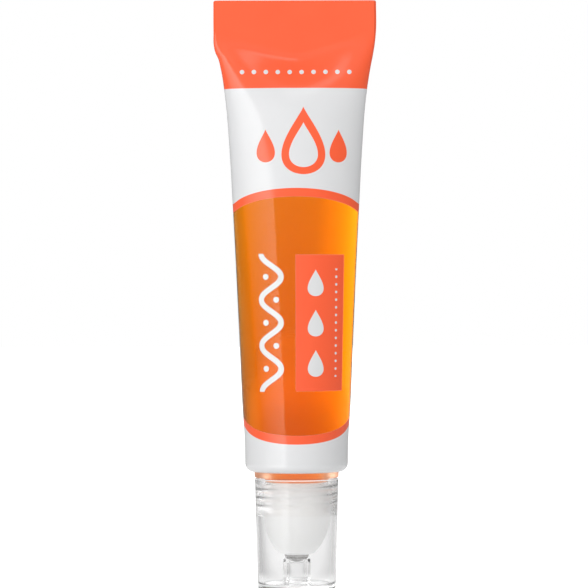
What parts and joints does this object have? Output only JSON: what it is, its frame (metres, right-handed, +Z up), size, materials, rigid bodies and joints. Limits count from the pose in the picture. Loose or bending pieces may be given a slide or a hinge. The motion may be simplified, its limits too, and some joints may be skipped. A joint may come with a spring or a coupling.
{
  "type": "cuticle oil tube",
  "caption": "Slim squeeze tube of amber cuticle oil, crimped flat at the top, with a steel roller-ball tip inside the clear screw cap that it stands on.",
  "frame": {"origin": "centre of the cap's flat closed end, which the object stands on", "axes": "+Z up along the tube to the crimp, X along the crimp, -Y towards the viewer of the printed front"},
  "size_m": [0.0304, 0.019, 0.1088],
  "materials": {
    "printed_sleeve": "glossy printed film",
    "clear_plastic": "clear and glossy",
    "white_plastic": "smooth satin",
    "polished_steel": "polished",
    "amber_oil": "clear amber liquid"
  },
  "bodies": {
    "cap": {"screw_cap": "clear_plastic"},
    "roller": {"roller_housing": "white_plastic"},
    "tube": {"tube_sleeve": "printed_sleeve", "tube_head": "clear_plastic", "oil_fill": "amber_oil"},
    "ball": {"roller_ball": "polished_steel"}
  },
  "joints": [
    {"name": "tube_lift", "type": "slide", "parent": "cap", "child": "roller", "axis": [0, 0, 1], "range_m": [0, 0.018]},
    {"name": "tube_turn", "type": "hinge", "parent": "roller", "child": "tube", "pos_m": [0, 0, 0.021], "axis": [0, 0, 1], "range_deg": [0, 4320]},
    {"name": "ball_roll", "type": "hinge", "parent": "roller", "child": "ball", "pos_m": [0, 0, 0.00705], "axis": [1, 0, 0], "continuous": true}
  ],
  "couplings": [
    {"joint": "tube_lift", "follows": "tube_turn", "m_per_rad": 0.00023873}
  ]
}
